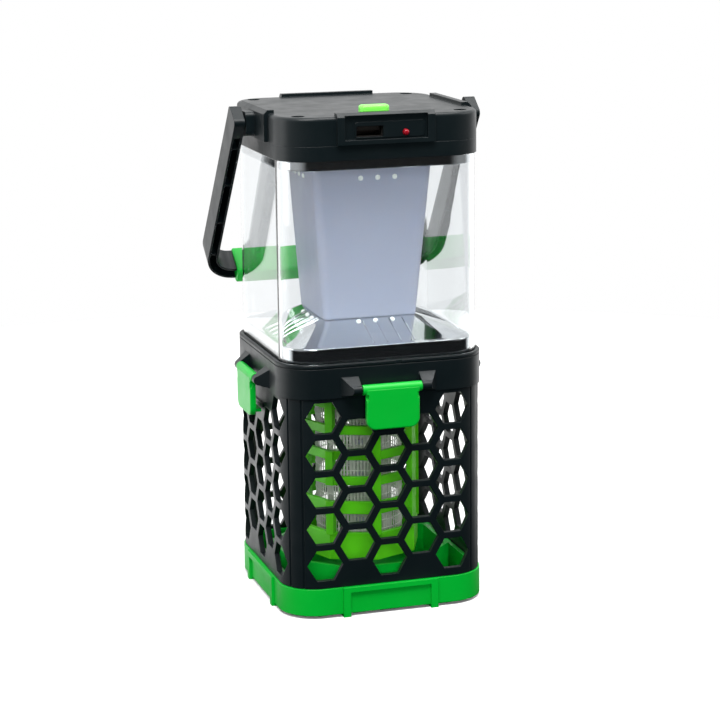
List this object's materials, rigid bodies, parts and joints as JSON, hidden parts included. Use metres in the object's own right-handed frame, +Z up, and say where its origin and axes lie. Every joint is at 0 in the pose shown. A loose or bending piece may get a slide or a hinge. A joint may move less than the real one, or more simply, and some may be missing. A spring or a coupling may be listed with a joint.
{
  "type": "electric bug zapper",
  "caption": "Cordless camping lantern with an insect-killing grid in a honeycomb cage, a clear lamp window, a swinging bail handle, draw latches and a removable collecting tray.",
  "frame": {"origin": "on the floor under the middle of the square body", "axes": "+Z up; -Y is the front with the charging socket; +X is the right side seen from the front; the handle hinges about X"},
  "size_m": [0.1258, 0.1252, 0.243],
  "materials": {
    "green": "satin moulded",
    "black": "fine moulded",
    "leaf_green": "satin moulded",
    "clear": "clear polished",
    "chrome": "vacuum chromed",
    "milky": "milky",
    "steel": "drawn wire",
    "button_green": "gloss",
    "led_red": "clear red",
    "led_white": "encapsulated",
    "board": "white solder mask",
    "board_green": "green solder mask",
    "cell": "shrink film",
    "grey_plastic": "plain",
    "ferrite": "sintered",
    "uv_led": "encapsulated",
    "insulator": "plain"
  },
  "bodies": {
    "base": {"tray": "green"},
    "cage_body": {"cage": "black"},
    "head": {"collar": "black", "latch_pins": "steel", "window": "clear", "lower_reflector": "chrome", "upper_reflector": "chrome", "diffuser": "milky", "lamp_post": "grey_plastic", "lamp_boards": "board", "lamp_leds": "led_white", "cap_rim": "black", "cap": "black", "tact_switch": "grey_plastic", "main_board": "board_green", "usb_socket": "steel", "charge_led": "led_red", "cap_screws": "steel", "battery": "cell", "battery_holder": "grey_plastic", "guard": "leaf_green", "uv_board": "board", "uv_leds": "uv_led", "uv_socket": "insulator", "hv_board": "board_green", "hv_transformer": "ferrite", "hv_capacitors": "insulator", "outer_grid": "steel", "inner_grid": "steel"},
    "bail": {"handle": "black", "grip": "green"},
    "button": {"power_button": "button_green"},
    "front_latch": {"latch_front": "green"},
    "right_latch": {"latch_right": "green"},
    "back_latch": {"latch_back": "green"},
    "left_latch": {"latch_left": "green"}
  },
  "joints": [
    {"name": "cage_lift", "type": "slide", "parent": "base", "child": "cage_body", "axis": [0, 0, 1], "range_m": [0, 0.03]},
    {"name": "head_lift", "type": "slide", "parent": "cage_body", "child": "head", "axis": [0, 0, 1], "range_m": [0, 0.1]},
    {"name": "handle_swing", "type": "hinge", "parent": "head", "child": "bail", "pos_m": [0, 0, 0.2324], "axis": [1, 0, 0], "range_deg": [0, 286]},
    {"name": "button_press", "type": "slide", "parent": "head", "child": "button", "axis": [0, 0, -1], "range_m": [0, 0.0012], "stiffness_N_per_m": 400},
    {"name": "latch_front_swing", "type": "hinge", "parent": "head", "child": "front_latch", "pos_m": [0, -0.0552, 0.1115], "axis": [-1, 0, 0], "range_deg": [0, 110]},
    {"name": "latch_right_swing", "type": "hinge", "parent": "head", "child": "right_latch", "pos_m": [0.0552, 0, 0.1115], "axis": [0, -1, 0], "range_deg": [0, 110]},
    {"name": "latch_back_swing", "type": "hinge", "parent": "head", "child": "back_latch", "pos_m": [0, 0.0552, 0.1115], "axis": [1, 0, 0], "range_deg": [0, 110]},
    {"name": "latch_left_swing", "type": "hinge", "parent": "head", "child": "left_latch", "pos_m": [-0.0552, 0, 0.1115], "axis": [0, 1, 0], "range_deg": [0, 110]}
  ]
}
